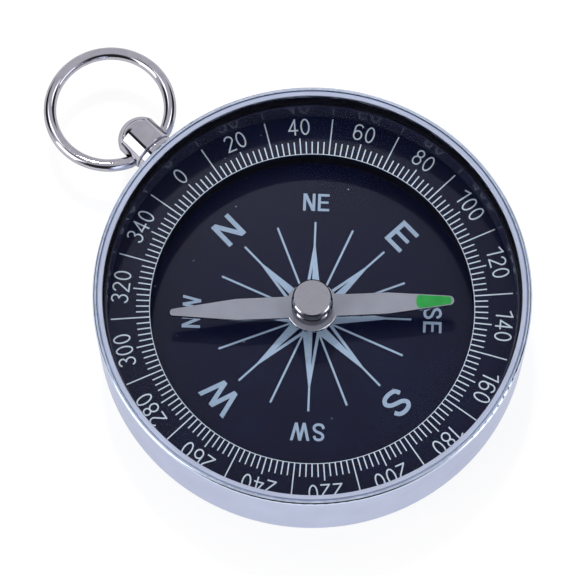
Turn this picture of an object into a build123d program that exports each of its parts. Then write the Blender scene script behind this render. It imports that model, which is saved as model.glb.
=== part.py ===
from build123d import *
from math import cos, radians, sin, sqrt
import os

os.makedirs("parts", exist_ok=True)

# Pocket compass, in millimetres
# The origin is the centre of the case's underside. +Z goes up through the needle's pivot, and +Y goes
# out to the stem and the bow, which is north on the printed scale.

# Case, a shallow cup
CASE_RADIUS = 22.6
CASE_WALL = 0.4
CASE_FLOOR = 1.0
FOOT_ROUND = 0.9
MOUTH_ROUND = 0.33

# Heights of the pieces that are stacked in the case, from the floor up
DIAL_THICKNESS = 0.6
LOWER_SPACER_HEIGHT = 2.4
SCALE_THICKNESS = 0.8
UPPER_SPACER_HEIGHT = 2.8
SEAT_HEIGHT = 0.8
CRYSTAL_THICKNESS = 1.5
RETAINER_HEIGHT = 0.5

# Widths of the stacked rings, inward from the case wall
SCALE_WIDTH = 5.18
LOWER_SPACER_SETBACK = 0.25
UPPER_SPACER_WIDTH = 0.85
SEAT_WIDTH = 0.7
RETAINER_WIDTH = 0.59
RETAINER_INNER_ROUND = 0.1
RETAINER_OUTER_CHAMFER = 0.14
CRYSTAL_CHAMFER = 0.15

# Play between the stack and the case wall
LINER_PLAY = 0.1
RETAINER_PLAY = 0.04

# Needle
NEEDLE_TIP_GAP = 2.05
NEEDLE_WIDTH = 2.4
NEEDLE_PLAIN_TIP_RADIUS = 0.42
NEEDLE_PAINTED_TIP_RADIUS = 0.56
NEEDLE_TAPER = 7.0
NEEDLE_BOSS_RADIUS = 2.75
NEEDLE_EDGE_ROUND = 0.12
NEEDLE_THICKNESS = 0.4
NEEDLE_ABOVE_SCALE = 0.1
NEEDLE_BEARING = 131.6

# Cap on the needle, with its jewel
CAP_RADIUS = 2.05
CAP_SPIGOT_RADIUS = 1.5
CAP_SPIGOT_BELOW = 0.2
CAP_BORE_RADIUS = 1.1
CAP_ROOF = 0.6
CAP_CHAMFER = 0.15
CAP_GROOVE_DEPTH = 0.2
CAP_GROOVE_WIDTH = 0.3
CAP_COLLAR_RADIUS = 2.15
CAP_COLLAR_HEIGHT = 1.5
CAP_UNDER_CRYSTAL = 0.65
CAP_FIT = 0.02
JEWEL_HEIGHT = 1.2
JEWEL_RECESS_DEPTH = 0.8
JEWEL_RECESS_RADIUS = 0.8

# Pivot pin and its base
PIN_RADIUS = 0.4
PIN_POINT_LENGTH = 1.2
PIN_POINT_FLAT = 0.05
PIN_POINT_PLAY = 0.03
PIN_FIT = 0.02
BASE_SPIGOT_RADIUS = 1.1
BASE_FLANGE_RADIUS = 1.6
BASE_FLANGE_HEIGHT = 0.5
BASE_BOSS_RADIUS = 0.9
BASE_BOSS_HEIGHT = 1.2
BASE_FIT = 0.05

# Stem and its collar, round the stem's own axis
STEM_RADIUS = 2.35
STEM_DOME_RISE = 1.6
STEM_SHOULDER_ROUND = 0.2
STEM_HOLE_WALL = 0.15
STEM_HOLE_TO_DOME = 0.95
SPIGOT_RADIUS = 0.9
SPIGOT_FIT = 0.05
PEEN_RADIUS = 1.2
PEEN_THICKNESS = 0.4
PEEN_PLAY = 0.02
PEEN_POCKET_PLAY = 0.08
COLLAR_RADIUS = 2.3
COLLAR_LENGTH = 1.45
COLLAR_ROUND = 0.2
COLLAR_SADDLE_PLAY = 0.03

# Bow ring, with a straight stretch that hangs in the stem's cross hole
BOW_RADIUS = 6.4
BOW_WIRE_RADIUS = 0.66
BOW_BEND_RADIUS = 1.2
BOW_STRAIGHT_OVERHANG = 0.1
BOW_HOLE_PLAY = 0.16
BOW_REST_PLAY = 0.05

# Radii and levels of the stack
CASE_BORE = CASE_RADIUS - CASE_WALL
LINER_RADIUS = CASE_BORE - LINER_PLAY
SCALE_BORE = LINER_RADIUS - SCALE_WIDTH
RETAINER_RADIUS = CASE_BORE - RETAINER_PLAY
DIAL_FACE = CASE_FLOOR + DIAL_THICKNESS
SCALE_UNDERSIDE = DIAL_FACE + LOWER_SPACER_HEIGHT
SCALE_FACE = SCALE_UNDERSIDE + SCALE_THICKNESS
SEAT_UNDERSIDE = SCALE_FACE + UPPER_SPACER_HEIGHT
CRYSTAL_UNDERSIDE = SEAT_UNDERSIDE + SEAT_HEIGHT
CRYSTAL_FACE = CRYSTAL_UNDERSIDE + CRYSTAL_THICKNESS
CASE_HEIGHT = CRYSTAL_FACE + RETAINER_HEIGHT

# Reach of the needle, and levels of its bearing
NEEDLE_REACH = SCALE_BORE - NEEDLE_TIP_GAP
NEEDLE_FACE = SCALE_FACE + NEEDLE_ABOVE_SCALE
NEEDLE_UNDERSIDE = NEEDLE_FACE - NEEDLE_THICKNESS
CAP_COLLAR_FACE = NEEDLE_FACE + CAP_COLLAR_HEIGHT
CAP_FACE = CRYSTAL_UNDERSIDE - CAP_UNDER_CRYSTAL
JEWEL_FACE = CAP_FACE - CAP_ROOF
JEWEL_UNDERSIDE = JEWEL_FACE - JEWEL_HEIGHT
JEWEL_APEX = JEWEL_UNDERSIDE + JEWEL_RECESS_DEPTH
PIN_TIP = JEWEL_APEX - PIN_POINT_PLAY

# Places along the stem, measured from the case's axis
STEM_HEIGHT = CASE_HEIGHT / 2
PEEN_SEAT = sqrt(CASE_BORE**2 - PEEN_RADIUS**2) - PEEN_PLAY
PEEN_BACK = PEEN_SEAT - PEEN_THICKNESS
POCKET_FLOOR = PEEN_BACK - PEEN_POCKET_PLAY
POCKET_RADIUS = PEEN_RADIUS + PEEN_POCKET_PLAY
SHOULDER = CASE_RADIUS + COLLAR_LENGTH

HOLE_RADIUS = BOW_WIRE_RADIUS + BOW_HOLE_PLAY
HOLE_PLACE = SHOULDER + STEM_HOLE_WALL + HOLE_RADIUS
DOME_START = HOLE_PLACE + HOLE_RADIUS + STEM_HOLE_TO_DOME
STEM_END = DOME_START + STEM_DOME_RISE

# The bow rests against the side of the hole that is nearer the case
BOW_PLACE = HOLE_PLACE - BOW_HOLE_PLAY + BOW_REST_PLAY
BOW_HALF_STRAIGHT = STEM_RADIUS + BOW_STRAIGHT_OVERHANG
BOW_REACH = sqrt(BOW_RADIUS**2 - BOW_HALF_STRAIGHT**2) + BOW_RADIUS

# Planes and axes: a section through the case's axis, and two planes of the stem
SECTION = Plane.XZ
STEM_SECTION = Plane(origin=(0, 0, STEM_HEIGHT), x_dir=(0, 1, 0), z_dir=(1, 0, 0))
STEM_FACE = Plane(origin=(0, 0, STEM_HEIGHT), x_dir=(1, 0, 0), z_dir=(0, 1, 0))
STEM_AXIS = Axis((0, 0, STEM_HEIGHT), (0, 1, 0))
NEEDLE_PLANE = Plane(
    origin=(0, 0, NEEDLE_UNDERSIDE),
    x_dir=(sin(radians(NEEDLE_BEARING)), cos(radians(NEEDLE_BEARING)), 0),
    z_dir=(0, 0, 1),
)
BOW_PLANE = Plane(origin=(0, BOW_PLACE, STEM_HEIGHT))


def save(builder, name):
    """Label a finished piece and write it under its name."""
    builder.part.label = name
    export_step(builder.part, f"parts/{name}.step")


# Case: cup with a rounded foot and a hole for the stem's spigot
with BuildPart() as case:
    with BuildSketch():
        Circle(CASE_RADIUS)
    extrude(amount=CASE_HEIGHT)
    with BuildSketch(Plane.XY.offset(CASE_FLOOR)):
        Circle(CASE_BORE)
    extrude(amount=CASE_HEIGHT, mode=Mode.SUBTRACT)
    foot_edge = case.edges().filter_by(GeomType.CIRCLE).group_by(Axis.Z)[0]
    fillet(foot_edge, radius=FOOT_ROUND)
    mouth_edges = case.edges().filter_by(GeomType.CIRCLE).group_by(Axis.Z)[-1]
    fillet(mouth_edges.sort_by(SortBy.RADIUS)[-1], radius=MOUTH_ROUND)
    with BuildSketch(STEM_FACE.offset(POCKET_FLOOR)):
        Circle(SPIGOT_RADIUS + SPIGOT_FIT)
    extrude(amount=CASE_RADIUS, mode=Mode.SUBTRACT)
save(case, "case")

# Dial plate: sunken disc with a hole for the pivot's base
with BuildPart() as dial_plate:
    with BuildSketch(Plane.XY.offset(CASE_FLOOR)):
        Circle(LINER_RADIUS)
        Circle(BASE_SPIGOT_RADIUS + BASE_FIT, mode=Mode.SUBTRACT)
    extrude(amount=DIAL_THICKNESS)
save(dial_plate, "dial_plate")

# Room for the peened end of the stem, cut from the three rings round it
with BuildPart() as peen_pocket:
    with BuildSketch(STEM_FACE.offset(POCKET_FLOOR)):
        Circle(POCKET_RADIUS)
    extrude(amount=CASE_RADIUS)

# Lower spacer: wall between the dial and the scale ring
with BuildPart() as lower_spacer:
    with BuildSketch(Plane.XY.offset(DIAL_FACE)):
        Circle(LINER_RADIUS)
        Circle(SCALE_BORE + LOWER_SPACER_SETBACK, mode=Mode.SUBTRACT)
    extrude(amount=LOWER_SPACER_HEIGHT)
    add(peen_pocket.part, mode=Mode.SUBTRACT)
save(lower_spacer, "lower_spacer")

# Scale ring: flat ring under the printed scale
with BuildPart() as scale_ring:
    with BuildSketch(Plane.XY.offset(SCALE_UNDERSIDE)):
        Circle(LINER_RADIUS)
        Circle(SCALE_BORE, mode=Mode.SUBTRACT)
    extrude(amount=SCALE_THICKNESS)
    add(peen_pocket.part, mode=Mode.SUBTRACT)
save(scale_ring, "scale_ring")

# Upper spacer: holds the scale ring down at its edge
with BuildPart() as upper_spacer:
    with BuildSketch(Plane.XY.offset(SCALE_FACE)):
        Circle(LINER_RADIUS)
        Circle(LINER_RADIUS - UPPER_SPACER_WIDTH, mode=Mode.SUBTRACT)
    extrude(amount=UPPER_SPACER_HEIGHT)
    add(peen_pocket.part, mode=Mode.SUBTRACT)
save(upper_spacer, "upper_spacer")

# Crystal seat: ring that the crystal lies on
with BuildPart() as crystal_seat:
    with BuildSketch(Plane.XY.offset(SEAT_UNDERSIDE)):
        Circle(LINER_RADIUS)
        Circle(LINER_RADIUS - SEAT_WIDTH, mode=Mode.SUBTRACT)
    extrude(amount=SEAT_HEIGHT)
save(crystal_seat, "crystal_seat")

# Crystal: flat clear disc
with BuildPart() as crystal:
    with BuildSketch(Plane.XY.offset(CRYSTAL_UNDERSIDE)):
        Circle(LINER_RADIUS)
    extrude(amount=CRYSTAL_THICKNESS)
    chamfer(crystal.edges().filter_by(GeomType.CIRCLE), length=CRYSTAL_CHAMFER)
save(crystal, "crystal")

# Retaining ring: pressed into the mouth, over the crystal's edge, with a chamfer outside that leaves a seam
with BuildPart() as retaining_ring:
    with BuildSketch(Plane.XY.offset(CRYSTAL_FACE)):
        Circle(RETAINER_RADIUS)
        Circle(RETAINER_RADIUS - RETAINER_WIDTH, mode=Mode.SUBTRACT)
    extrude(amount=RETAINER_HEIGHT)
    top_edges = retaining_ring.edges().filter_by(GeomType.CIRCLE).group_by(Axis.Z)[-1]
    chamfer(top_edges.sort_by(SortBy.RADIUS)[-1], length=RETAINER_OUTER_CHAMFER)
    top_edges = retaining_ring.edges().filter_by(GeomType.CIRCLE).group_by(Axis.Z)[-1]
    fillet(top_edges.sort_by(SortBy.RADIUS)[0], radius=RETAINER_INNER_ROUND)
save(retaining_ring, "retaining_ring")

# Pivot base: flanged bush through the dial, standing on the case's floor
with BuildPart() as pivot_base:
    with BuildSketch(Plane.XY.offset(CASE_FLOOR)):
        Circle(BASE_SPIGOT_RADIUS)
    extrude(amount=DIAL_THICKNESS)
    with BuildSketch(Plane.XY.offset(DIAL_FACE)):
        Circle(BASE_FLANGE_RADIUS)
    extrude(amount=BASE_FLANGE_HEIGHT)
    with BuildSketch(Plane.XY.offset(DIAL_FACE + BASE_FLANGE_HEIGHT)):
        Circle(BASE_BOSS_RADIUS)
    extrude(amount=BASE_BOSS_HEIGHT)
    Hole(PIN_RADIUS + PIN_FIT)
save(pivot_base, "pivot_base")

# Pivot pin: straight pin with a sharp point
with BuildPart() as pivot_pin:
    with BuildSketch(SECTION):
        with BuildLine():
            Polyline(
                (0, CASE_FLOOR),
                (PIN_RADIUS, CASE_FLOOR),
                (PIN_RADIUS, PIN_TIP - PIN_POINT_LENGTH),
                (PIN_POINT_FLAT, PIN_TIP),
                (0, PIN_TIP),
                close=True,
            )
        make_face()
    revolve(axis=Axis.Z)
save(pivot_pin, "pivot_pin")

# Needle: flat blade with a round middle, tapered to two round tips, the painted one the blunter
plain_tip = NEEDLE_PLAIN_TIP_RADIUS - NEEDLE_REACH
painted_tip = NEEDLE_REACH - NEEDLE_PAINTED_TIP_RADIUS
with BuildPart() as needle:
    with BuildSketch(NEEDLE_PLANE):
        with BuildLine():
            CenterArc((plain_tip, 0), NEEDLE_PLAIN_TIP_RADIUS, 90, 90)
            Polyline(
                (plain_tip, NEEDLE_PLAIN_TIP_RADIUS),
                (NEEDLE_TAPER - NEEDLE_REACH, NEEDLE_WIDTH / 2),
                (NEEDLE_REACH - NEEDLE_TAPER, NEEDLE_WIDTH / 2),
                (painted_tip, NEEDLE_PAINTED_TIP_RADIUS),
            )
            CenterArc((painted_tip, 0), NEEDLE_PAINTED_TIP_RADIUS, 0, 90)
            mirror(about=Plane.XZ)
        make_face()
        Circle(NEEDLE_BOSS_RADIUS)
        Circle(CAP_SPIGOT_RADIUS + CAP_FIT, mode=Mode.SUBTRACT)
    extrude(amount=NEEDLE_THICKNESS)
    outline = needle.faces().sort_by(Axis.Z)[-1].outer_wire().edges()
    fillet(outline, radius=NEEDLE_EDGE_ROUND)
save(needle, "needle")

# Needle cap: turned cap with a spigot through the blade, a collar on it and a groove above the collar
with BuildPart() as needle_cap:
    with BuildSketch(SECTION):
        with BuildLine():
            Polyline(
                (CAP_BORE_RADIUS, NEEDLE_UNDERSIDE - CAP_SPIGOT_BELOW),
                (CAP_SPIGOT_RADIUS, NEEDLE_UNDERSIDE - CAP_SPIGOT_BELOW),
                (CAP_SPIGOT_RADIUS, NEEDLE_FACE),
                (CAP_COLLAR_RADIUS, NEEDLE_FACE),
                (CAP_COLLAR_RADIUS, CAP_COLLAR_FACE - CAP_CHAMFER),
                (CAP_COLLAR_RADIUS - CAP_CHAMFER, CAP_COLLAR_FACE),
                (CAP_RADIUS - CAP_GROOVE_DEPTH, CAP_COLLAR_FACE),
                (CAP_RADIUS - CAP_GROOVE_DEPTH, CAP_COLLAR_FACE + CAP_GROOVE_WIDTH),
                (CAP_RADIUS, CAP_COLLAR_FACE + CAP_GROOVE_WIDTH),
                (CAP_RADIUS, CAP_FACE - CAP_CHAMFER),
                (CAP_RADIUS - CAP_CHAMFER, CAP_FACE),
                (0, CAP_FACE),
                (0, JEWEL_FACE),
                (CAP_BORE_RADIUS, JEWEL_FACE),
                close=True,
            )
        make_face()
    revolve(axis=Axis.Z)
save(needle_cap, "needle_cap")

# Jewel cup: bearing at the top of the cap's bore, with a hollow cone that sits on the pin's point
with BuildPart() as jewel_cup:
    with BuildSketch(SECTION):
        with BuildLine():
            Polyline(
                (0, JEWEL_APEX),
                (JEWEL_RECESS_RADIUS, JEWEL_UNDERSIDE),
                (CAP_BORE_RADIUS - CAP_FIT, JEWEL_UNDERSIDE),
                (CAP_BORE_RADIUS - CAP_FIT, JEWEL_FACE),
                (0, JEWEL_FACE),
                close=True,
            )
        make_face()
    revolve(axis=Axis.Z)
save(jewel_cup, "jewel_cup")

# Stem: turned body with a domed end, a spigot through the case wall and a peened end inside
with BuildPart() as stem:
    with BuildSketch(STEM_SECTION):
        with BuildLine():
            Polyline(
                (STEM_END, 0),
                (PEEN_BACK, 0),
                (PEEN_BACK, PEEN_RADIUS),
                (PEEN_SEAT, PEEN_RADIUS),
                (PEEN_SEAT, SPIGOT_RADIUS),
                (SHOULDER, SPIGOT_RADIUS),
                (SHOULDER, STEM_RADIUS),
                (DOME_START, STEM_RADIUS),
            )
            dome_radius = (STEM_RADIUS**2 + STEM_DOME_RISE**2) / (2 * STEM_DOME_RISE)
            RadiusArc((DOME_START, STEM_RADIUS), (STEM_END, 0), dome_radius)
        make_face()
    revolve(axis=STEM_AXIS)
    shoulder_edges = stem.edges().filter_by(GeomType.CIRCLE).filter_by_position(
        Axis.Y, SHOULDER, SHOULDER
    )
    fillet(shoulder_edges.sort_by(SortBy.RADIUS)[-1], radius=STEM_SHOULDER_ROUND)
    with BuildSketch(Plane(origin=(0, HOLE_PLACE, STEM_HEIGHT), z_dir=(1, 0, 0))):
        Circle(HOLE_RADIUS)
    extrude(amount=STEM_RADIUS, both=True, mode=Mode.SUBTRACT)
save(stem, "stem")

# Stem collar: washer with a saddle that fits the round of the case wall
with BuildPart() as stem_collar:
    with BuildSketch(STEM_FACE.offset(SHOULDER)):
        Circle(COLLAR_RADIUS)
        Circle(SPIGOT_RADIUS + SPIGOT_FIT, mode=Mode.SUBTRACT)
    extrude(amount=-2 * COLLAR_LENGTH)
    front_edges = stem_collar.edges().filter_by(GeomType.CIRCLE).group_by(Axis.Y)[-1]
    fillet(front_edges.sort_by(SortBy.RADIUS)[-1], radius=COLLAR_ROUND)
    with BuildSketch():
        Circle(CASE_RADIUS + COLLAR_SADDLE_PLAY)
    extrude(amount=CASE_HEIGHT, mode=Mode.SUBTRACT)
save(stem_collar, "stem_collar")

# Bow ring: closed ring of round wire, straight where it passes through the stem
with BuildPart() as bow_ring:
    with BuildLine(BOW_PLANE) as bow_path:
        Line((-BOW_HALF_STRAIGHT, 0), (BOW_HALF_STRAIGHT, 0))
        ThreePointArc((BOW_HALF_STRAIGHT, 0), (0, BOW_REACH), (-BOW_HALF_STRAIGHT, 0))
        fillet(bow_path.vertices(), radius=BOW_BEND_RADIUS)
    bow_start = bow_path.edges().sort_by(Axis.Y)[0]
    with BuildSketch(Plane(origin=bow_start @ 0, z_dir=bow_start % 0)):
        Circle(BOW_WIRE_RADIUS)
    sweep(path=bow_path.wires()[0])
save(bow_ring, "bow_ring")
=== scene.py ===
from math import cos, hypot, radians, sin

import bmesh
import bpy
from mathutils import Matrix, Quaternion, Vector
from mathutils.geometry import delaunay_2d_cdt


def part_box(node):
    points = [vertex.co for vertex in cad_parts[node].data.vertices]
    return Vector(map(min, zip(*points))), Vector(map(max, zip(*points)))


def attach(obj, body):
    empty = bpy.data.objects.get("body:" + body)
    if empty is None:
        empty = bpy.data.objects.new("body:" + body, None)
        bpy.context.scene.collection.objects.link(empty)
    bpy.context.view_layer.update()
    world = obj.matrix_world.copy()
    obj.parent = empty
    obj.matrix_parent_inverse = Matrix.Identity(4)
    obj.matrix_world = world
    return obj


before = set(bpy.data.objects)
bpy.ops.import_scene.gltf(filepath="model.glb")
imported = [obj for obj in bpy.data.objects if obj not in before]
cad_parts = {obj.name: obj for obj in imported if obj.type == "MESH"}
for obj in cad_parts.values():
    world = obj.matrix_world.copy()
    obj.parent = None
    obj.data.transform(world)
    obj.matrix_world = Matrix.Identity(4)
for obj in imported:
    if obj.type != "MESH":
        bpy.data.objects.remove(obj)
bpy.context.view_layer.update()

# Pocket compass: finishes, printed scale, printed dial and painted needle tip
# Lengths are in millimetres here, and MM turns them into metres. Bearings are in degrees, clockwise
# from north, which is +Y.
MM = 0.001
QUARTER = 90

# Camera
CAMERA_TARGET = (-0.28, 3.32, 4.82)
CAMERA_BEARING = 223.7
CAMERA_ELEVATION = 71.73
CAMERA_ROLL = -0.45
CAMERA_DISTANCE = 327.4
CAMERA_LENS = 195.66
SENSOR_WIDTH = 36.0

# Ink and paint: how far they stand above their surface and reach below it
INK_ABOVE = 0.02
PAINT_ABOVE = 0.025
PRINT_BELOW = 0.01

# Degree scale on the raised ring, which is set a little clockwise of the stem
SCALE_TURN = 0.29
TICK_STEP = 2
NUMBER_STEP = 20
TICK_WIDTH = 0.125
SHORT_TICK = 1.43
MIDDLE_TICK = 1.85
LONG_TICK_END_GAP = 0.25
EDGE_LINE_WIDTH = 0.065
EDGE_LINE_STEPS = 180
NUMBER_RADIUS = 20.05
DIGIT_HEIGHT = 1.83
DIGIT_WIDTH = 0.98
DIGIT_LINE = 0.155
DIGIT_PITCH = 1.27
ONE_PITCH = 1.05

# Rose on the sunken dial, which is turned a little further
DIAL_TURN = 1.39
ROSE_RAYS = 16
ROSE_RADIUS = 10.45
ROSE_LINE = 0.21
ROSE_SHOULDER = 8.5
ROSE_STALK_OVERLAP = 3 * ROSE_LINE
ROSE_FOOT = 1.0
ROSE_FOOT_WIDTH = 2.05
ROSE_SLIT_START = 5.5
ROSE_SLIT_OFFSET = 0.12
ROSE_OUTLINE = 0.33

# Letters on the dial, large ones at the quarters and pairs of small ones between them
LETTER_RADIUS = 13.0
LETTER_HEIGHT = 2.92
LETTER_LINE = 0.5
PAIR_RADIUS = 12.68
PAIR_HEIGHT = 1.93
PAIR_LINE = 0.3
PAIR_GAP = 0.28
PAIR_NARROWING = 0.8
# Widths of the letters, as shares of their height, and the line of the S, as a share of the others'
LETTER_WIDTHS = {"N": 0.83, "E": 0.79, "S": 0.83, "W": 1.32}
S_LINE_SHARE = 0.92

# Painted tip of the needle
NEEDLE_BEARING = 131.6
NEEDLE_WIDTH = 2.4
NEEDLE_TAPER = 7.0
NEEDLE_TIP_RADIUS = 0.56
PAINT_LENGTH = 3.65
PAINT_BULGE = 0.35
PAINT_TIP_GAP = 0.3
PAINT_EDGE = 0.14


def radii(node):
    """Smallest and largest distance of a CAD node from the case's axis, in millimetres."""
    distances = [hypot(v.co.x, v.co.y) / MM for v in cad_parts[node].data.vertices]
    return min(distances), max(distances)


def top_of(node):
    """Height of a CAD node's highest point, in millimetres."""
    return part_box(node)[1].z / MM


SCALE_BORE = radii("scale_ring")[0]
SCALE_FACE = top_of("scale_ring")
DIAL_FACE = top_of("dial_plate")
LONG_TICK_END = radii("upper_spacer")[0] - LONG_TICK_END_GAP
NEEDLE_REACH = radii("needle")[1]
NEEDLE_FACE = top_of("needle")
CASE_TOP = top_of("case")
STEM_HEIGHT = sum(corner.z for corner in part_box("stem")) / 2 / MM


# Flat shapes: each is a list of polygons, and a polygon is a list of points

# Points closer than this are one point
SAME_POINT = 0.0001
# Least cosine of half a turn in a line, which limits how far a sharp corner reaches
SHARPEST_CORNER = 0.5
# Kind of triangulation that fills only the polygons
FILLED_ONLY = 1


def arc(centre_x, centre_y, radius_x, radius_y, start, end, steps=16):
    """Points along an arc of an ellipse, from one angle to another."""
    angles = [radians(start + (end - start) * step / steps) for step in range(steps + 1)]
    return [(centre_x + radius_x * cos(a), centre_y + radius_y * sin(a)) for a in angles]


def smooth(points, steps=6):
    """Points along a smooth open curve that passes through the given points."""
    ends = [points[0], *points, points[-1]]
    path = []
    for before, start, end, after in zip(ends, ends[1:], ends[2:], ends[3:]):
        for step in range(steps):
            t = step / steps
            path.append(tuple(
                0.5 * (2 * p + (q - o) * t + (2 * o - 5 * p + 4 * q - r) * t**2
                       + (3 * p - o - 3 * q + r) * t**3)
                for o, p, q, r in zip(before, start, end, after)
            ))
    return [*path, points[-1]]


def line(path, width):
    """Polygons that cover a line of one width along a path."""
    points = [Vector(point) for point in path]
    closed = (points[0] - points[-1]).length < SAME_POINT
    runs = [(b - a).normalized() for a, b in zip(points, points[1:])]
    before = [runs[-1] if closed else runs[0], *runs]
    after = [*runs, runs[0] if closed else runs[-1]]
    sides = []
    for point, run_in, run_out in zip(points, before, after):
        along = (run_in + run_out).normalized()
        reach = width / 2 / max(along.dot(run_in), SHARPEST_CORNER)
        across = Vector((-along.y, along.x)) * reach
        sides.append((point + across, point - across))
    return [[a[0], a[1], b[1], b[0]] for a, b in zip(sides, sides[1:])]


def bar(left, bottom, right, top):
    """Upright rectangle."""
    return [[(left, bottom), (right, bottom), (right, top), (left, top)]]


def slant(bottom_x, top_x, width, height):
    """Slanted bar with level ends, centred on the given places at the bottom and the top."""
    half = width / 2
    return [[
        (bottom_x - half, -height / 2), (bottom_x + half, -height / 2),
        (top_x + half, height / 2), (top_x - half, height / 2),
    ]]


def place(polygons, radius, bearing):
    """Set shapes on the dial with their tops outward, at a radius and a bearing."""
    out = Vector((sin(radians(bearing)), cos(radians(bearing))))
    right = Vector((out.y, -out.x))
    return [[out * (radius + y) + right * x for x, y in polygon] for polygon in polygons]


def shift(polygons, distance):
    """Move shapes sideways."""
    return [[(x + distance, y) for x, y in polygon] for polygon in polygons]


def digit(character):
    """One digit, centred, drawn with a thin even line."""
    half_width = (DIGIT_WIDTH - DIGIT_LINE) / 2
    half_height = (DIGIT_HEIGHT - DIGIT_LINE) / 2
    top = DIGIT_HEIGHT / 2
    one_stem = half_width / 2
    one_flag = half_height - 0.75 * half_width
    two_corner = (-0.9 * half_width, -0.9 * half_height)
    two_end = half_width + DIGIT_LINE / 2
    four_stem = 0.45 * half_width
    four_bar = -0.45 * half_height
    four_corner = -1.1 * half_width
    four_bar_ends = (-1.3 * half_width, 1.25 * half_width)
    six_bowl = 0.58 * half_height
    # The three and the eight have a small upper bowl and a large lower one
    waist = 0.05 * DIGIT_HEIGHT
    upper = (half_height - waist) / 2
    lower = (half_height + waist) / 2
    three_upper_width = 0.92 * half_width
    eight_upper_width = 0.86 * half_width
    paths = {
        "0": [arc(0, 0, half_width, half_height, 0, 360, steps=28)],
        "1": [
            [(one_stem, -top), (one_stem, top)],
            [(one_stem, half_height), (-half_width, one_flag)],
        ],
        "2": [
            arc(0, half_height - half_width, half_width, half_width, 170, -30) + [two_corner],
            [(-two_end, -half_height), (two_end, -half_height)],
        ],
        "3": [
            arc(0, half_height - upper, three_upper_width, upper, 160, -90),
            arc(0, lower - half_height, half_width, lower, 90, -160),
        ],
        "4": [
            [(four_stem, -top), (four_stem, top)],
            [(four_stem, half_height), (four_corner, four_bar)],
            [(end, four_bar) for end in four_bar_ends],
        ],
        "6": [
            arc(0, six_bowl - half_height, half_width, six_bowl, 0, 360, steps=24),
            arc(0, half_height - half_width, half_width, half_width, 25, 180)
            + [(-half_width, six_bowl - half_height)],
        ],
        "8": [
            arc(0, half_height - upper, eight_upper_width, upper, 0, 360, steps=22),
            arc(0, lower - half_height, half_width, lower, 0, 360, steps=24),
        ],
    }
    return [polygon for path in paths[character] for polygon in line(path, DIGIT_LINE)]


def number(value):
    """A number, centred as a whole."""
    characters = str(value)
    pitches = [ONE_PITCH if character == "1" else DIGIT_PITCH for character in characters]
    start = -sum(pitches) / 2
    shapes = []
    for index, character in enumerate(characters):
        shapes += shift(digit(character), start + sum(pitches[:index]) + pitches[index] / 2)
    return shapes


def letter(character, height, thickness, narrowing=1.0):
    """One bold capital, centred, with its width."""
    width = LETTER_WIDTHS[character] * height * narrowing
    half, top = width / 2, height / 2
    if character == "N":
        diagonal = 1.2 * thickness
        shapes = bar(-half, -top, thickness - half, top) + bar(half - thickness, -top, half, top)
        shapes += slant(half - diagonal / 2, diagonal / 2 - half, diagonal, height)
    elif character == "E":
        arm = 0.9 * thickness
        middle_low, middle_high, middle_end = -0.4 * arm, 0.5 * arm, 0.85 * half
        shapes = bar(-half, -top, thickness - half, top)
        shapes += bar(-half, top - arm, half, top) + bar(-half, -top, half, arm - top)
        shapes += bar(-half, middle_low, middle_end, middle_high)
    elif character == "W":
        head = half - thickness / 2
        foot = 0.47 * head
        shapes = slant(-foot, -head, thickness, height) + slant(foot, head, thickness, height)
        shapes += slant(-foot, 0, thickness, height) + slant(foot, 0, thickness, height)
    else:
        stroke = S_LINE_SHARE * thickness
        reach, rise = half - stroke / 2, top - stroke / 2
        spine = [
            (0.93, 0.5), (0.6, 0.88), (-0.02, 1.0), (-0.66, 0.88), (-0.92, 0.54), (-0.6, 0.2),
            (0.05, 0.02), (0.66, -0.17), (1.0, -0.54), (0.68, -0.9), (0.0, -1.0), (-0.7, -0.88),
            (-1.0, -0.46),
        ]
        shapes = line(smooth([(x * reach, y * rise) for x, y in spine]), stroke)
    return shapes, width


def pair(characters):
    """Two smaller letters side by side, centred."""
    drawn = [letter(character, PAIR_HEIGHT, PAIR_LINE, PAIR_NARROWING) for character in characters]
    (first, first_width), (second, second_width) = drawn
    total = first_width + second_width + PAIR_GAP
    return shift(first, (first_width - total) / 2) + shift(second, (total - second_width) / 2)


def scale_ticks():
    """A tick every two degrees, longest midway between numbers, and a fine line on the ring's edge."""
    edge = SCALE_BORE + EDGE_LINE_WIDTH / 2
    shapes = []
    for bearing in range(0, 360, TICK_STEP):
        if bearing % NUMBER_STEP == NUMBER_STEP // 2:
            end = LONG_TICK_END
        elif bearing % NUMBER_STEP == 0:
            end = SCALE_BORE + MIDDLE_TICK
        else:
            end = SCALE_BORE + SHORT_TICK
        shapes += place(bar(-TICK_WIDTH / 2, edge, TICK_WIDTH / 2, end), 0, bearing + SCALE_TURN)
    return shapes + line(arc(0, 0, edge, edge, 0, 360, EDGE_LINE_STEPS), EDGE_LINE_WIDTH)


def scale_numbers():
    """The numbers from 0 to 340."""
    shapes = []
    for bearing in range(0, 360, NUMBER_STEP):
        shapes += place(number(bearing), NUMBER_RADIUS, bearing + SCALE_TURN)
    return shapes


def main_ray():
    """A ray of the rose that is filled on its clockwise side and outlined on the other."""
    half = ROSE_FOOT_WIDTH / 2
    tip = (0, ROSE_SHOULDER)
    slit = (-ROSE_SLIT_OFFSET, ROSE_SLIT_START)
    filled = [tip, slit, (-ROSE_SLIT_OFFSET, ROSE_FOOT), (half, ROSE_FOOT)]
    outline = [tip, (-half, ROSE_FOOT), (ROSE_OUTLINE - half, ROSE_FOOT), slit]
    stalk = bar(-ROSE_LINE / 2, ROSE_SHOULDER - ROSE_STALK_OVERLAP, ROSE_LINE / 2, ROSE_RADIUS)
    return [filled, outline] + stalk


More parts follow.
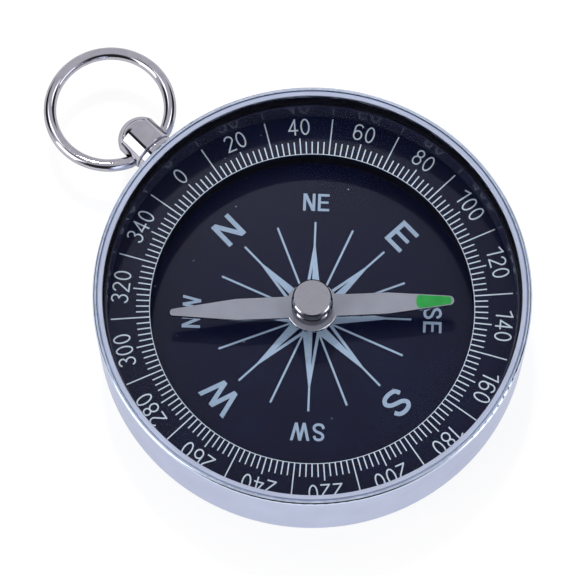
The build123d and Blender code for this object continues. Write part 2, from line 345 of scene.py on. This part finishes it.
def rose():
    """Rays all round, every second one a main ray."""
    thin_ray = bar(-ROSE_LINE / 2, 0, ROSE_LINE / 2, ROSE_RADIUS)
    shapes = []
    for ray in range(ROSE_RAYS):
        shapes += place(thin_ray if ray % 2 else main_ray(), 0, ray * 360 / ROSE_RAYS + DIAL_TURN)
    return shapes


def dial_letters():
    """The four large letters and the four pairs between them."""
    shapes = []
    for quarter, character in enumerate("NESW"):
        drawn = letter(character, LETTER_HEIGHT, LETTER_LINE)[0]
        shapes += place(drawn, LETTER_RADIUS, quarter * QUARTER + DIAL_TURN)
    for quarter, characters in enumerate(("NE", "SE", "SW", "NW")):
        shapes += place(pair(characters), PAIR_RADIUS, (quarter + 0.5) * QUARTER + DIAL_TURN)
    return shapes


def painted_tip():
    """Outline of the paint on the needle's tip, inside the blade's own edge, with bulging ends."""
    taper = (NEEDLE_WIDTH / 2 - NEEDLE_TIP_RADIUS) / (NEEDLE_TAPER - NEEDLE_TIP_RADIUS)
    start = NEEDLE_REACH - PAINT_LENGTH
    end = NEEDLE_REACH - PAINT_TIP_GAP - PAINT_BULGE
    outline = []
    for distance, angle in ((end, 0), (start, 180)):
        from_tip = NEEDLE_REACH - NEEDLE_TIP_RADIUS - distance
        half_width = NEEDLE_TIP_RADIUS + taper * from_tip - PAINT_EDGE
        outline += arc(0, distance, half_width, PAINT_BULGE, angle, angle + 180)
    return place([outline], 0, NEEDLE_BEARING)


def add_object(name, data):
    """Object with the given data, in the scene."""
    made = bpy.data.objects.new(name, data)
    bpy.context.scene.collection.objects.link(made)
    return made


def add_mesh(name, mesh):
    """Object made of a finished mesh."""
    data = bpy.data.meshes.new(name)
    mesh.to_mesh(data)
    mesh.free()
    return add_object(name, data)


def plate(name, polygons, face, above):
    """Thin flat solid over all the polygons together, on a level face."""
    points, faces = [], []
    for polygon in polygons:
        turns = zip(polygon, [*polygon[1:], polygon[0]])
        area = sum(a[0] * b[1] - b[0] * a[1] for a, b in turns)
        faces.append(list(range(len(points), len(points) + len(polygon))))
        points += [Vector(point) for point in (polygon if area > 0 else polygon[::-1])]
    flat, _, triangles, _, _, covers = delaunay_2d_cdt(points, [], faces, FILLED_ONLY, SAME_POINT)
    mesh = bmesh.new()
    corners = [mesh.verts.new((p.x * MM, p.y * MM, (face - PRINT_BELOW) * MM)) for p in flat]
    for triangle, covered in zip(triangles, covers):
        if covered:
            mesh.faces.new([corners[corner] for corner in triangle])
    raised = bmesh.ops.extrude_face_region(mesh, geom=mesh.faces[:])["geom"]
    lifted = [item for item in raised if isinstance(item, bmesh.types.BMVert)]
    bmesh.ops.translate(mesh, vec=(0, 0, (above + PRINT_BELOW) * MM), verts=lifted)
    loose = [corner for corner in mesh.verts if not corner.link_faces]
    bmesh.ops.delete(mesh, geom=loose, context="VERTS")
    bmesh.ops.recalc_face_normals(mesh, faces=mesh.faces[:])
    return add_mesh(name, mesh)


# Finishes: tones are a surface's darkest and lightest colour, in display values of 0 to 255, and a
# pair of roughnesses is its smoothest and its roughest. A grazing colour tints a metal seen edge on.

CASE_TONES = ((207, 217, 239), (215, 225, 247))
CASE_GRAZING = (0.65, 0.65, 0.72, 1)
CASE_EDGE_ROUGHNESS = 0.16
RING_TONES = ((195, 202, 219), (205, 212, 229))
RING_GRAZING = (0.8, 0.8, 0.85, 1)
RING_EDGE_ROUGHNESS = 0.5
ALUMINIUM_WALL_ROUGHNESS = 0.26
# Darker tones of the case's rim: partly worn patches, partly painted shade
RIM_WEAR_AND_SHADE_TONES = ((180, 190, 206), (206, 216, 232))
# Depth over which the case's rim blends into its darker tones, partly worn patches and partly painted
# shade
RIM_BLEND = 0.15

NICKEL_TONES = ((176, 174, 182), (188, 186, 194))
NICKEL_GRAZING = (0.6, 0.6, 0.62, 1)
NICKEL_ROUGHNESS = (0.02, 0.035)
CAP_TOP_TONES = ((168, 168, 175), (178, 178, 185))
CAP_WALL_ROUGHNESS = 0.4
CAP_EDGE_ROUGHNESS = 0.04

NEEDLE_TONES = ((170, 172, 182), (178, 180, 190))
# Lighter tones of the needle's edges: a painted highlight
NEEDLE_EDGE_HIGHLIGHT_TONES = ((224, 226, 232), (238, 240, 245))
NEEDLE_EDGE_ROUGHNESS = 0.2
# Patches of the grain in a millimetre along X, Y and Z, and the turn of its pattern
NEEDLE_GRAIN = (0.4, 12, 4)
NEEDLE_GRAIN_TURN = NEEDLE_BEARING - QUARTER

BRASS_TONES = ((196, 158, 92), (214, 178, 112))
BRASS_ROUGHNESS = (0.22, 0.34)
PIN_TONES = ((176, 176, 180), (196, 196, 200))
PIN_ROUGHNESS = (0.15, 0.25)
JEWEL_TONES = ((176, 60, 76), (206, 92, 104))
JEWEL_ROUGHNESS = (0.04, 0.1)

CRYSTAL_TONES = ((250, 252, 254), (254, 254, 254))
CRYSTAL_GLOSS_TINT = (0.03, 0.03, 0.035, 1)
CRYSTAL_ROUGHNESS = (0.0, 0.015)
# Wipe marks in a millimetre along X, Y and Z, and the turn of their pattern
CRYSTAL_WIPES = (0.15, 1.2, 1)
CRYSTAL_WIPES_TURN = 35

BLACK_TONES = ((9, 10, 18), (13, 14, 24))
NAVY_TONES = ((9, 14, 43), (12, 18, 49))
# Navy of the upper spacer, painted lighter than the scale ring's as light on its shaded wall
GLOSSY_NAVY_PAINTED_LIGHT_TONES = ((40, 44, 68), (46, 50, 76))
# Roughness of a plastic at its smoothest and its roughest, as shares of its middle one
PLASTIC_SPREAD = (0.8, 1.2)
DUST_TONES = ((110, 114, 126), (170, 174, 184))
# Specks of dust: the cells in a millimetre, and the core and the edge of a speck in its cell
SPECK_CELLS = 0.45
SPECK_EDGE = (0.02, 0.045)

SCALE_INK_TONES = ((204, 218, 232), (216, 230, 243))
LETTER_INK_TONES = ((150, 172, 198), (162, 184, 210))
# The rose's ink is a little lighter than the letters', partly its own tone and partly painted light
# against the needle's shadow
ROSE_INK_AND_LIGHT_TONES = ((157, 180, 206), (169, 192, 218))
INK_ROUGHNESS = (0.5, 0.65)
GREEN_TONES = ((46, 150, 68), (58, 162, 80))
PAINT_ROUGHNESS = (0.42, 0.52)

# How far a surface faces up, from 0 to 1, where upright walls end, and between edges and level tops
ALUMINIUM_WALL_END = 0.2
ALUMINIUM_LEVEL = (0.9, 0.985)
CAP_WALL_END = 0.3
CAP_LEVEL = (0.9, 0.99)
NEEDLE_LEVEL = (0.85, 0.98)
TOP_ROUGHNESS = 0.8

# Relief: its depth and its strength
TURNED_RELIEF = (0.01, 0.2)
FINE_RELIEF = (0.006, 0.2)
PAINT_RELIEF = (0.03, 0.3)

# Part of the range of the noise that a pattern uses
NOISE_RANGE = (0.3, 0.7)
# Colour sockets of a mix node
MIX_FIRST, MIX_SECOND, MIX_RESULT = 6, 7, 2
# Edges of the solids that turn by more than this many degrees stay sharp
SHARP_ANGLE = 35


def colour(red, green, blue):
    """Colour from display values of 0 to 255."""
    def light(value):
        value /= 255
        return value / 12.92 if value <= 0.04045 else ((value + 0.055) / 1.055) ** 2.4
    return (light(red), light(green), light(blue), 1.0)


def empty_tree(owner):
    """Node tree of a material or a world, without any nodes."""
    owner.use_nodes = True
    owner.node_tree.nodes.clear()
    return owner.node_tree


def new_node(tree, kind, values=None, **settings):
    """Add a node with its settings and the values of its sockets."""
    made = tree.nodes.new(kind)
    for key, value in settings.items():
        setattr(made, key, value)
    for key, value in (values or {}).items():
        made.inputs[key].default_value = value
    return made


def new_material(name, **values):
    """Material with one shader, whose constant values are set on its own sockets."""
    material = bpy.data.materials.new(name)
    tree = empty_tree(material)
    output = new_node(tree, "ShaderNodeOutputMaterial")
    sockets = {
        key.replace("_", " ").title().replace("Ior", "IOR"): value for key, value in values.items()
    }
    shader = new_node(tree, "ShaderNodeBsdfPrincipled", sockets)
    tree.links.new(shader.outputs["BSDF"], output.inputs["Surface"])
    return material, tree, shader


def calculated(tree, operation, first, second):
    """Result of an operation on two numbers."""
    made = new_node(tree, "ShaderNodeMath", operation=operation)
    tree.links.new(first, made.inputs[0])
    tree.links.new(second, made.inputs[1])
    return made.outputs[0]


def object_place(tree):
    """Place on the object, in metres."""
    return new_node(tree, "ShaderNodeTexCoord").outputs["Object"]


def upward_part(tree, vector):
    """Upward part of a place or a direction."""
    parts = new_node(tree, "ShaderNodeSeparateXYZ")
    tree.links.new(vector, parts.inputs[0])
    return parts.outputs["Z"]


def height_on(tree):
    """Height on the object, in metres."""
    return upward_part(tree, object_place(tree))


def facing_up(tree):
    """How far a surface faces up: 1 for a level top, 0 for an upright wall."""
    return upward_part(tree, new_node(tree, "ShaderNodeTexCoord").outputs["Normal"])


def stretched(tree, per_mm, turn):
    """Place on the object, scaled along each axis and then turned about the vertical."""
    values = {"Scale": [scale / MM for scale in per_mm], "Rotation": (0, 0, radians(turn))}
    mapping = new_node(tree, "ShaderNodeMapping", values)
    tree.links.new(object_place(tree), mapping.inputs["Vector"])
    return mapping.outputs["Vector"]


def turned(tree, lines_per_mm, streaks, axis_height=None):
    """Coordinates that run round an axis, for a surface finished on a lathe.

    The axis is the case's own, or with a height the stem's, which lies along +Y.
    """
    parts = new_node(tree, "ShaderNodeSeparateXYZ")
    tree.links.new(object_place(tree), parts.inputs[0])
    if axis_height is None:
        along, across = parts.outputs["Z"], parts.outputs["Y"]
    else:
        lowered = new_node(tree, "ShaderNodeMath", {1: axis_height * MM}, operation="SUBTRACT")
        tree.links.new(parts.outputs["Z"], lowered.inputs[0])
        along, across = parts.outputs["Y"], lowered.outputs[0]
    flat = new_node(tree, "ShaderNodeCombineXYZ")
    tree.links.new(parts.outputs["X"], flat.inputs["X"])
    tree.links.new(across, flat.inputs["Y"])
    radius = new_node(tree, "ShaderNodeVectorMath", operation="LENGTH")
    tree.links.new(flat.outputs[0], radius.inputs[0])
    lines = new_node(tree, "ShaderNodeMath", {1: lines_per_mm / MM}, operation="MULTIPLY")
    tree.links.new(calculated(tree, "ADD", radius.outputs["Value"], along), lines.inputs[0])
    outward = new_node(tree, "ShaderNodeVectorMath", operation="NORMALIZE")
    tree.links.new(flat.outputs[0], outward.inputs[0])
    spread = new_node(tree, "ShaderNodeVectorMath", {"Scale": streaks}, operation="SCALE")
    tree.links.new(outward.outputs["Vector"], spread.inputs[0])
    ends = new_node(tree, "ShaderNodeSeparateXYZ")
    tree.links.new(spread.outputs["Vector"], ends.inputs[0])
    joined = new_node(tree, "ShaderNodeCombineXYZ")
    tree.links.new(lines.outputs[0], joined.inputs["X"])
    tree.links.new(ends.outputs["X"], joined.inputs["Y"])
    tree.links.new(ends.outputs["Y"], joined.inputs["Z"])
    return joined.outputs[0]


def noise(tree, vector, scale=1.0, detail=2.0):
    """Grey noise over the given coordinates."""
    made = new_node(tree, "ShaderNodeTexNoise", {"Scale": scale, "Detail": detail})
    tree.links.new(vector, made.inputs["Vector"])
    return made.outputs["Fac"]


def clouds(tree, per_mm, detail=3):
    """Grey noise over the object, with a number of patches in a millimetre."""
    return noise(tree, object_place(tree), per_mm / MM, detail)


def between(tree, factor, low, high, start=NOISE_RANGE[0], end=NOISE_RANGE[1]):
    """Number that goes from low to high as a factor goes from start to end."""
    values = {"From Min": start, "From Max": end, "To Min": low, "To Max": high}
    made = new_node(tree, "ShaderNodeMapRange", values)
    tree.links.new(factor, made.inputs["Value"])
    return made.outputs["Result"]


def tint(tree, factor, tones):
    """Colour that goes from the dark to the light tone as a noise rises."""
    made = new_node(tree, "ShaderNodeValToRGB")
    for element, position, tone in zip(made.color_ramp.elements, NOISE_RANGE, tones):
        element.position = position
        element.color = colour(*tone)
    tree.links.new(factor, made.inputs[0])
    return made.outputs["Color"]


def by_slope(tree, wall, wall_end, edge, level):
    """Roughness that goes from an upright wall's to the rounded edges' and to a level top's."""
    stops = ((0.0, wall), (wall_end, edge), (level[0], edge), (level[1], TOP_ROUGHNESS))
    made = new_node(tree, "ShaderNodeValToRGB")
    elements = made.color_ramp.elements
    for position, _ in stops[1:-1]:
        elements.new(position)
    for element, (position, value) in zip(elements, stops):
        element.position = position
        element.color = (value, value, value, 1)
    tree.links.new(facing_up(tree), made.inputs[0])
    return made.outputs["Color"]


def blend(tree, factor, first, second):
    """Mix of two colours by a factor."""
    made = new_node(tree, "ShaderNodeMix", data_type="RGBA")
    tree.links.new(factor, made.inputs["Factor"])
    tree.links.new(first, made.inputs[MIX_FIRST])
    tree.links.new(second, made.inputs[MIX_SECOND])
    return made.outputs[MIX_RESULT]


def blend_shaders(tree, factor, first, second):
    """Mix of two shaders by a factor."""
    made = new_node(tree, "ShaderNodeMixShader")
    tree.links.new(factor, made.inputs["Fac"])
    tree.links.new(first.outputs[0], made.inputs[1])
    tree.links.new(second.outputs[0], made.inputs[2])
    return made.outputs[0]


def specks(tree):
    """Small dots, far apart: 1 on a dot, 0 elsewhere."""
    cells = new_node(tree, "ShaderNodeTexVoronoi", {"Scale": SPECK_CELLS / MM})
    tree.links.new(object_place(tree), cells.inputs["Vector"])
    return between(tree, cells.outputs["Distance"], 1, 0, *SPECK_EDGE)


def any_ray(tree, *kinds):
    """1 for rays of any of the given kinds, 0 for others."""
    path = new_node(tree, "ShaderNodeLightPath")
    found = path.outputs[f"Is {kinds[0]} Ray"]
    for kind in kinds[1:]:
        found = calculated(tree, "MAXIMUM", found, path.outputs[f"Is {kind} Ray"])
    return found


def dress(tree, shader, skin, roughness):
    """Give a shader its colour and its roughness."""
    tree.links.new(skin, shader.inputs["Base Color"])
    tree.links.new(roughness, shader.inputs["Roughness"])


def emboss(tree, shader, height, depth, strength):
    """Fine relief on a shader, of a depth in millimetres."""
    made = new_node(tree, "ShaderNodeBump", {"Strength": strength, "Distance": depth * MM})
    tree.links.new(height, made.inputs["Height"])
    tree.links.new(made.outputs["Normal"], shader.inputs["Normal"])


def clouded(name, tones, roughness, per_mm, detail=3, relief=None, **values):
    """Finish whose colour, roughness and relief follow soft patches."""
    material, tree, shader = new_material(name, **values)
    patches = clouds(tree, per_mm, detail)
    dress(tree, shader, tint(tree, patches, tones), between(tree, patches, *roughness))
    if relief is not None:
        emboss(tree, shader, patches, *relief)
    return material


def lathed(name, tones, roughness, lines_per_mm, relief=None):
    """Metal whose colour, roughness and relief follow the fine lines that a lathe leaves."""
    material, tree, shader = new_material(name, metallic=1.0)
    lines = noise(tree, turned(tree, lines_per_mm, streaks=4))
    dress(tree, shader, tint(tree, lines, tones), between(tree, lines, *roughness))
    if relief is not None:
        emboss(tree, shader, lines, *relief)
    return material


def satin_aluminium(name, tones, grazing, edge_roughness, rim_height=None):
    """Pale aluminium with fine turned lines and soft stains, whose rim darkens up to a height with
    wear and painted shade.
    """
    material, tree, shader = new_material(name, metallic=1.0, specular_tint=grazing)
    lines = noise(tree, turned(tree, lines_per_mm=14, streaks=9), detail=3)
    skin = tint(tree, clouds(tree, per_mm=0.25), tones)
    if rim_height is not None:
        # The rim's darker patches are partly wear and partly painted shade
        rim_wear_and_shade = tint(tree, clouds(tree, per_mm=1.6, detail=4), RIM_WEAR_AND_SHADE_TONES)
        rim_start, rim_end = (rim_height - RIM_BLEND) * MM, rim_height * MM
        skin = blend(tree, between(tree, height_on(tree), 0, 1, rim_start, rim_end), skin, rim_wear_and_shade)
    roughness = by_slope(
        tree, ALUMINIUM_WALL_ROUGHNESS, ALUMINIUM_WALL_END, edge_roughness, ALUMINIUM_LEVEL
    )
    dress(tree, shader, skin, roughness)
    emboss(tree, shader, lines, *TURNED_RELIEF)
    return material


def turned_nickel(name, axis_height=None):
    """Bright nickel plate over a turned surface, with satin tops round the case's own axis."""
    material, tree, shader = new_material(name, metallic=1.0, specular_tint=NICKEL_GRAZING)
    lines = noise(tree, turned(tree, lines_per_mm=9, streaks=4, axis_height=axis_height))
    skin = tint(tree, clouds(tree, per_mm=0.7, detail=2), NICKEL_TONES)
    roughness = between(tree, lines, *NICKEL_ROUGHNESS)
    if axis_height is None:
        level = between(tree, facing_up(tree), 0, 1, *CAP_LEVEL)
        skin = blend(tree, level, skin, tint(tree, lines, CAP_TOP_TONES))
        roughness = by_slope(tree, CAP_WALL_ROUGHNESS, CAP_WALL_END, CAP_EDGE_ROUGHNESS, CAP_LEVEL)
    dress(tree, shader, skin, roughness)
    return material


def drawn_nickel():
    """Bright nickel plate on drawn wire."""
    return clouded(
        "drawn_nickel", NICKEL_TONES, NICKEL_ROUGHNESS, per_mm=1.2,
        metallic=1.0, specular_tint=NICKEL_GRAZING,
    )


def needle_steel():
    """Satin plated steel with a faint grain, whose edges are painted lighter as a highlight."""
    material, tree, shader = new_material("needle_steel", metallic=1.0)
    grain = noise(tree, stretched(tree, NEEDLE_GRAIN, NEEDLE_GRAIN_TURN), detail=3)
    face = tint(tree, clouds(tree, per_mm=0.5), NEEDLE_TONES)
    # The edges take lighter tones: a painted highlight
    edge = tint(tree, grain, NEEDLE_EDGE_HIGHLIGHT_TONES)
    level = facing_up(tree)
    skin = blend(tree, between(tree, level, 0, 1, *NEEDLE_LEVEL), edge, face)
    roughness = between(tree, level, NEEDLE_EDGE_ROUGHNESS, TOP_ROUGHNESS, *NEEDLE_LEVEL)
    dress(tree, shader, skin, roughness)
    emboss(tree, shader, grain, *FINE_RELIEF)
    return material


def turned_brass():
    """Turned brass of the pivot's base."""
    return lathed("turned_brass", BRASS_TONES, BRASS_ROUGHNESS, lines_per_mm=10, relief=FINE_RELIEF)


def ground_steel():
    """Ground steel of the pivot pin."""
    return lathed("ground_steel", PIN_TONES, PIN_ROUGHNESS, lines_per_mm=20)


def red_jewel():
    """Clouded synthetic ruby of the bearing."""
    return clouded(
        "red_jewel", JEWEL_TONES, JEWEL_ROUGHNESS, per_mm=2, ior=1.76, transmission_weight=0.6
    )


def moulded_plastic(name, tones, roughness, gloss):
    """Moulded plastic with a fine uneven skin and a little dust."""
    material, tree, shader = new_material(name, specular_ior_level=gloss)
    grain = clouds(tree, per_mm=9)
    dust = tint(tree, grain, DUST_TONES)
    skin = blend(tree, specks(tree), tint(tree, clouds(tree, per_mm=0.3), tones), dust)
    dress(tree, shader, skin, between(tree, grain, *(share * roughness for share in PLASTIC_SPREAD)))
    emboss(tree, shader, grain, *FINE_RELIEF)
    return material


def clear_crystal():
    """Clear disc that lets the lamps through to the dial."""
    material, tree, shader = new_material(
        "clear_crystal", ior=1.49, transmission_weight=1.0, specular_tint=CRYSTAL_GLOSS_TINT
    )
    wipes = noise(tree, stretched(tree, CRYSTAL_WIPES, CRYSTAL_WIPES_TURN), detail=4)
    dress(tree, shader, tint(tree, wipes, CRYSTAL_TONES), between(tree, wipes, *CRYSTAL_ROUGHNESS))
    through = new_node(tree, "ShaderNodeBsdfTransparent")
    mixed = blend_shaders(tree, any_ray(tree, "Camera", "Transmission"), through, shader)
    tree.links.new(mixed, tree.get_output_node("ALL").inputs["Surface"])
    return material


def printed_ink(name, tones):
    """Matt ink, a little uneven in cover."""
    return clouded(name, tones, INK_ROUGHNESS, per_mm=2.5, detail=4)


def green_paint():
    """Paint, dabbed on a little unevenly."""
    return clouded(
        "green_paint", GREEN_TONES, PAINT_ROUGHNESS, per_mm=1.1, relief=PAINT_RELIEF,
        specular_ior_level=0.05,
    )


black = moulded_plastic("black_plastic", BLACK_TONES, roughness=0.4, gloss=0.1)
navy = moulded_plastic("navy_plastic", NAVY_TONES, roughness=0.3, gloss=0.09)
# The upper spacer's navy is painted lighter, as light on a wall that stands in shade
glossy_navy_painted_light = moulded_plastic("glossy_navy_painted_light_plastic", GLOSSY_NAVY_PAINTED_LIGHT_TONES, roughness=0.2, gloss=0.3)
stem_nickel = turned_nickel("stem_nickel", STEM_HEIGHT)

NODE_MATERIALS = {
    "case": satin_aluminium(
        "case_aluminium", CASE_TONES, CASE_GRAZING, CASE_EDGE_ROUGHNESS, rim_height=CASE_TOP
    ),
    "retaining_ring": satin_aluminium("ring_aluminium", RING_TONES, RING_GRAZING, RING_EDGE_ROUGHNESS),
    "crystal": clear_crystal(),
    "crystal_seat": black,
    "upper_spacer": glossy_navy_painted_light,
    "scale_ring": navy,
    "lower_spacer": black,
    "dial_plate": navy,
    "pivot_base": turned_brass(),
    "pivot_pin": ground_steel(),
    "needle": needle_steel(),
    "needle_cap": turned_nickel("cap_nickel"),
    "jewel_cup": red_jewel(),
    "stem": stem_nickel,
    "stem_collar": stem_nickel,
    "bow_ring": drawn_nickel(),
}
for node, material in NODE_MATERIALS.items():
    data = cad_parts[node].data
    data.materials.clear()
    data.materials.append(material)
    data.shade_smooth()
    data.set_sharp_from_angle(angle=radians(SHARP_ANGLE))


def add_print(name, polygons, face, ink):
    """Printed piece that rides on the case."""
    piece = plate(name, polygons, face, INK_ABOVE)
    piece.data.materials.append(ink)
    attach(piece, "case")


scale_ink = printed_ink("scale_ink", SCALE_INK_TONES)
add_print("scale_ticks", scale_ticks(), SCALE_FACE, scale_ink)
add_print("scale_numbers", scale_numbers(), SCALE_FACE, scale_ink)
# The rose's lighter ink is partly painted light where the needle's shadow falls
add_print("rose_print", rose(), DIAL_FACE, printed_ink("rose_ink_and_painted_light", ROSE_INK_AND_LIGHT_TONES))
add_print("dial_letters", dial_letters(), DIAL_FACE, printed_ink("letter_ink", LETTER_INK_TONES))

tip_paint = plate("tip_paint", painted_tip(), NEEDLE_FACE, PAINT_ABOVE)
tip_paint.data.materials.append(green_paint())
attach(tip_paint, "needle")


# Studio, with its sizes in metres

FLOOR_SIZE = 4.0
FLOOR_DROP = 0.02 * MM
FLOOR_TONE = (0.85, 0.85, 0.85, 1)
# Glow of the floor to the eye and in reflections, and its share there
FLOOR_GLOW = 1.1
FLOOR_GLOW_SHARE = 0.75
# White tent round the object: the light that it gives, and how bright it looks in metal and glass
TENT_COLOUR = (1, 1, 1.05, 1)
TENT_LIGHT = 0.8
TENT_SEEN = 0.75
# Rays that see the floor and the tent
SEEING_RAYS = ("Camera", "Glossy", "Transmission")
# Dark openings of the tent: the bearing, the elevation and the half angle of each
OPENINGS = ((224, 22, 38), (294, 59, 9), (335, 25, 22), (112, 25, 22))
OPENING_SHADE = 0.04
# The edge of an opening is soft between these shares of its half angle
OPENING_EDGE = (1.2, 0.8)
# Lamps: the bearing, the elevation and the distance, then the width, the height and the watts
LAMPS = {
    "key": (38, 60.5, 1.0, 0.06, 0.06, 2.2),
    "left": (288, 28, 0.4, 0.22, 0.34, 0.48),
    "right": (155, 20, 0.4, 0.22, 0.2, 0.25),
    "top_left": (343, 57, 0.4, 0.11, 0.11, 0.08),
    "top_right": (105, 57, 0.4, 0.11, 0.11, 0.08),
}
LAMP_TARGET = Vector((0, 0, 5 * MM))


def direction(bearing, elevation):
    """Unit vector towards a bearing and an elevation."""
    level = cos(radians(elevation))
    east, north = sin(radians(bearing)) * level, cos(radians(bearing)) * level
    return Vector((east, north, sin(radians(elevation))))


def add_floor():
    """Pale floor, white to the eye away from the object's shadow."""
    material = bpy.data.materials.new("pale_floor")
    tree = empty_tree(material)
    output = new_node(tree, "ShaderNodeOutputMaterial")
    matt = new_node(tree, "ShaderNodeBsdfDiffuse", {"Color": FLOOR_TONE})
    glow = new_node(tree, "ShaderNodeEmission", {"Color": (1, 1, 1, 1), "Strength": FLOOR_GLOW})
    share = between(tree, any_ray(tree, *SEEING_RAYS), 0, FLOOR_GLOW_SHARE, 0, 1)
    tree.links.new(blend_shaders(tree, share, matt, glow), output.inputs["Surface"])
    mesh = bmesh.new()
    bmesh.ops.create_grid(mesh, x_segments=1, y_segments=1, size=FLOOR_SIZE / 2)
    floor = add_mesh("floor", mesh)
    floor.data.materials.append(material)
    floor.location.z = -FLOOR_DROP


def add_world():
    """White tent with dark openings."""
    world = bpy.data.worlds.new("studio")
    tree = empty_tree(world)
    output = new_node(tree, "ShaderNodeOutputWorld")
    background = new_node(tree, "ShaderNodeBackground", {"Color": TENT_COLOUR})
    strength = between(tree, any_ray(tree, *SEEING_RAYS), TENT_LIGHT, TENT_SEEN, 0, 1)
    way = new_node(tree, "ShaderNodeTexCoord").outputs["Generated"]
    for bearing, elevation, half_angle in OPENINGS:
        middle = direction(bearing, elevation)
        facing = new_node(tree, "ShaderNodeVectorMath", {1: middle}, operation="DOT_PRODUCT")
        tree.links.new(way, facing.inputs[0])
        edge = (cos(radians(share * half_angle)) for share in OPENING_EDGE)
        shut = between(tree, facing.outputs["Value"], 1, OPENING_SHADE, *edge)
        strength = calculated(tree, "MULTIPLY", strength, shut)
    tree.links.new(strength, background.inputs["Strength"])
    tree.links.new(background.outputs[0], output.inputs["Surface"])
    bpy.context.scene.world = world


def add_lamp(name, bearing, elevation, distance, width, height, watts):
    """Soft rectangular lamp that faces the object."""
    lamp = bpy.data.lights.new(name, "AREA")
    lamp.shape = "RECTANGLE"
    lamp.size = width
    lamp.size_y = height
    lamp.energy = watts
    away = direction(bearing, elevation)
    holder = add_object(name, lamp)
    holder.location = LAMP_TARGET + away * distance
    holder.rotation_euler = away.to_track_quat("Z", "Y").to_euler()


def add_camera():
    """Camera at the photograph's angle."""
    lens = bpy.data.cameras.new("camera")
    lens.lens = CAMERA_LENS
    lens.sensor_width = SENSOR_WIDTH
    away = direction(CAMERA_BEARING, CAMERA_ELEVATION)
    roll = Quaternion((0, 0, 1), radians(CAMERA_ROLL))
    camera = add_object("camera", lens)
    camera.location = (Vector(CAMERA_TARGET) + away * CAMERA_DISTANCE) * MM
    camera.rotation_euler = (away.to_track_quat("Z", "Y") @ roll).to_euler()
    bpy.context.scene.camera = camera


add_floor()
add_world()
for lamp_name, lamp_settings in LAMPS.items():
    add_lamp(lamp_name, *lamp_settings)
add_camera()
bpy.context.scene.view_settings.view_transform = "Standard"
